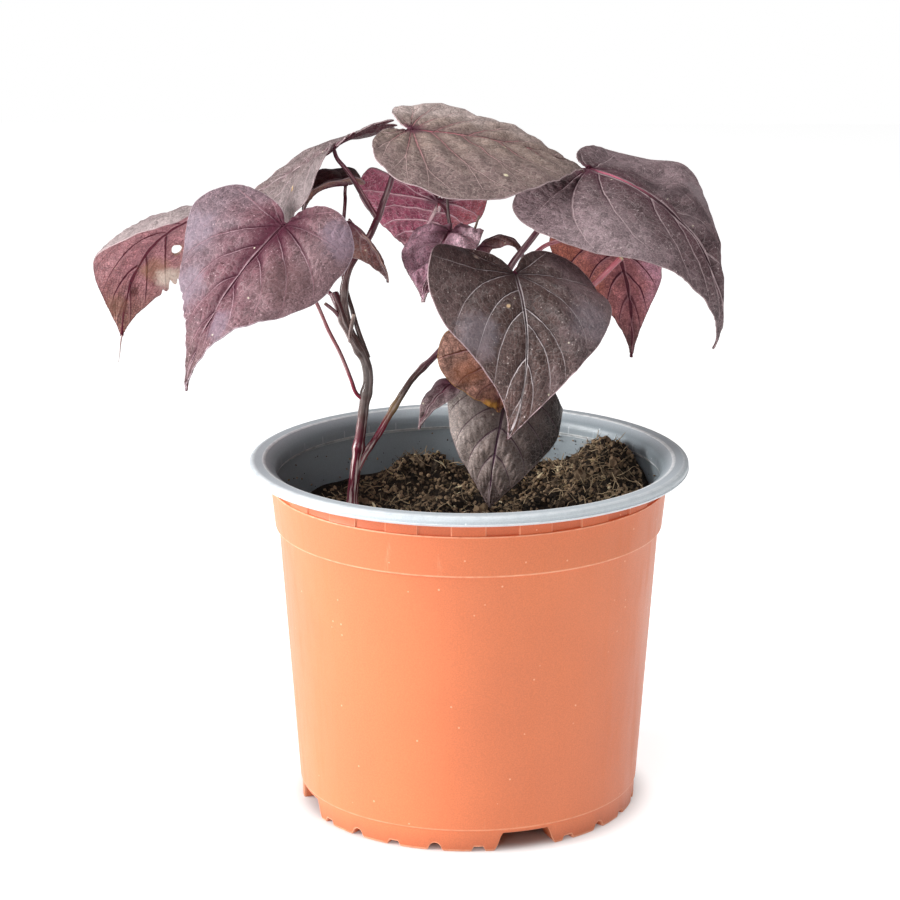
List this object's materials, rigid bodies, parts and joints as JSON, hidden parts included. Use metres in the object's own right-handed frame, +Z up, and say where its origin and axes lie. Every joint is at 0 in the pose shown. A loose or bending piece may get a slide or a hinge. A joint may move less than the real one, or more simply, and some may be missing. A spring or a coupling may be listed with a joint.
{
  "type": "potted sweet potato vine",
  "caption": "Young purple-leaved sweet potato vine in soil, in a round tapered plastic nursery pot with a rolled rim, a ribbed band and a notched foot.",
  "frame": {"origin": "on the ground, at the middle of the plant's box seen from above; the pot's own axis stands about 20 mm from it towards +X, because the leaves reach further out on the other side", "axes": "+Z up along the pot's axis; -Y towards the front, from which the vine's two stems stand side by side; +X to the right seen from the front, where the largest leaf hangs"},
  "size_m": [0.188, 0.13, 0.2068],
  "materials": {
    "pot": "satin moulded plastic, terracotta orange outside and light grey on the rim and inside, lightly speckled and scuffed",
    "soil": "dark peat compost with fibres and crumbs",
    "stem": "smooth living stem, wine red low down and grey green or dark purple higher up",
    "leaf_grey": "soft satin leaf, grey brown with pale pink veins",
    "leaf_mauve": "satin leaf, mauve brown with dark main veins and pale side veins",
    "leaf_dark": "glossy leaf, very dark purple brown with pale veins",
    "leaf_pink": "satin leaf seen from below, dusty pink with maroon veins",
    "leaf_bronze": "satin leaf, rust bronze with brown veins"
  },
  "bodies": {
    "root": {"pot": "pot", "soil": "soil", "stems": "stem", "leaf_top": "leaf_grey", "leaf_right": "leaf_mauve", "leaf_front": "leaf_dark", "leaf_left": "leaf_mauve", "leaf_far_left": "leaf_pink", "leaf_upper_left": "leaf_grey", "leaf_behind_right": "leaf_pink", "leaf_young_back": "leaf_pink", "leaf_low": "leaf_dark", "leaf_young_front": "leaf_dark", "leaf_bronze": "leaf_bronze", "leaf_behind_upper": "leaf_bronze", "leaf_crumpled": "leaf_bronze", "leaf_curled": "leaf_bronze", "leaf_low_small": "leaf_dark"}
  },
  "joints": []
}
